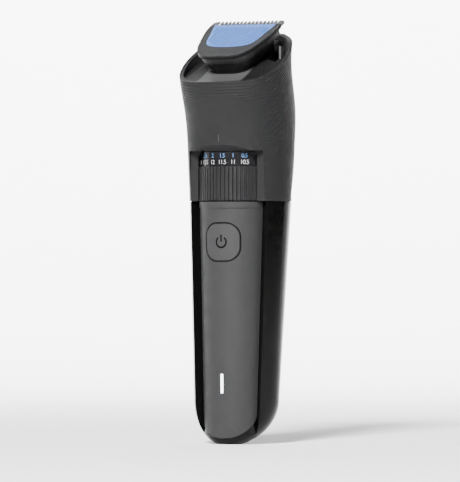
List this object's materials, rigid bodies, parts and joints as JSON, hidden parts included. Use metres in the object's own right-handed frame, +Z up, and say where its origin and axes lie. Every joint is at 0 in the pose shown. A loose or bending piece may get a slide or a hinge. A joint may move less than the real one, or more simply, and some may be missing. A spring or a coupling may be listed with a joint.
{
  "type": "beard trimmer",
  "caption": "Cordless beard trimmer with a ribbed length wheel in a front window, a power button, a charge light and a tilted toothed cutting head.",
  "frame": {"origin": "centre of the small flat land at the bottom end, which is also the mouth of the charging socket", "axes": "+Z up the long axis to the cutting head, -Y out of the front with the button and the wheel, X along the row of teeth"},
  "size_m": [0.045, 0.0462, 0.1692],
  "materials": {
    "gloss_black": "glossy",
    "panel_grey": "satin",
    "light_lens": "clear",
    "led_body": "glossy",
    "button_grey": "satin",
    "plunger_white": "satin",
    "switch_black": "satin",
    "seal_rubber": "matt",
    "board_green": "solder mask",
    "cell_wrap": "shrink film",
    "nickel_tab": "plain",
    "contact_plating": "plated",
    "frame_grey": "moulded",
    "screw_steel": "blackened",
    "motor_can": "zinc plated",
    "shaft_steel": "ground",
    "housing_grey": "fine texture",
    "wheel_black": "satin",
    "dial_black": "glossy",
    "spring_steel": "plain",
    "rail_grey": "satin",
    "deck_grey": "satin",
    "neck_black": "satin",
    "frame_dark": "satin",
    "plate_blue": "satin",
    "blade_steel": "ground"
  },
  "bodies": {
    "housing": {"lower_shell": "gloss_black", "front_panel": "panel_grey", "light_guide": "light_lens", "charge_led": "led_body", "tact_switch": "switch_black", "button_seal": "seal_rubber", "circuit_board": "board_green", "battery": "cell_wrap", "battery_tabs": "nickel_tab", "charging_socket": "gloss_black", "contact_pins": "contact_plating", "chassis": "frame_grey", "frame_screws": "screw_steel", "motor": "motor_can", "upper_housing": "housing_grey", "seam_seal": "seal_rubber", "wheel_detent": "spring_steel", "comb_rails": "rail_grey", "head_deck": "deck_grey", "shaft_seal": "seal_rubber", "neck": "neck_black"},
    "wheel": {"zoom_wheel": "wheel_black", "number_ring": "dial_black"},
    "carriage": {"comb_carriage": "frame_grey"},
    "button": {"power_button": "button_grey", "switch_plunger": "plunger_white"},
    "rotor": {"drive_shaft": "shaft_steel"},
    "cutting_unit": {"cutter_base": "neck_black", "cutter_frame": "frame_dark", "skin_plate": "plate_blue", "guard_blade": "blade_steel", "blade_spring": "spring_steel"},
    "blade": {"moving_blade": "blade_steel", "blade_carrier": "plunger_white"}
  },
  "joints": [
    {"name": "wheel_turn", "type": "hinge", "parent": "housing", "child": "wheel", "pos_m": [0, 0.0105, 0.1037], "axis": [0, 0, 1], "range_deg": [-32.8, 278.8]},
    {"name": "carriage_lift", "type": "slide", "parent": "housing", "child": "carriage", "axis": [0, 0, 1], "range_m": [-0.00101, 0.00851]},
    {"name": "button_press", "type": "slide", "parent": "housing", "child": "button", "axis": [0, 1, 0], "range_m": [0, 0.0006], "stiffness_N_per_m": 800, "springref_m": -0.001},
    {"name": "shaft_spin", "type": "hinge", "parent": "housing", "child": "rotor", "pos_m": [0, 0.0105, 0.135], "axis": [0, 0, 1], "continuous": true},
    {"name": "cutter_release", "type": "hinge", "parent": "housing", "child": "cutting_unit", "pos_m": [0, -0.00493, 0.15173], "axis": [1, 0, 0], "range_deg": [0, 28]},
    {"name": "blade_slide", "type": "slide", "parent": "cutting_unit", "child": "blade", "axis": [1, 0, 0], "range_m": [-0.0012, 0.0012]}
  ],
  "couplings": [
    {"joint": "carriage_lift", "follows": "wheel_turn", "m_per_rad": 0.0017468}
  ]
}
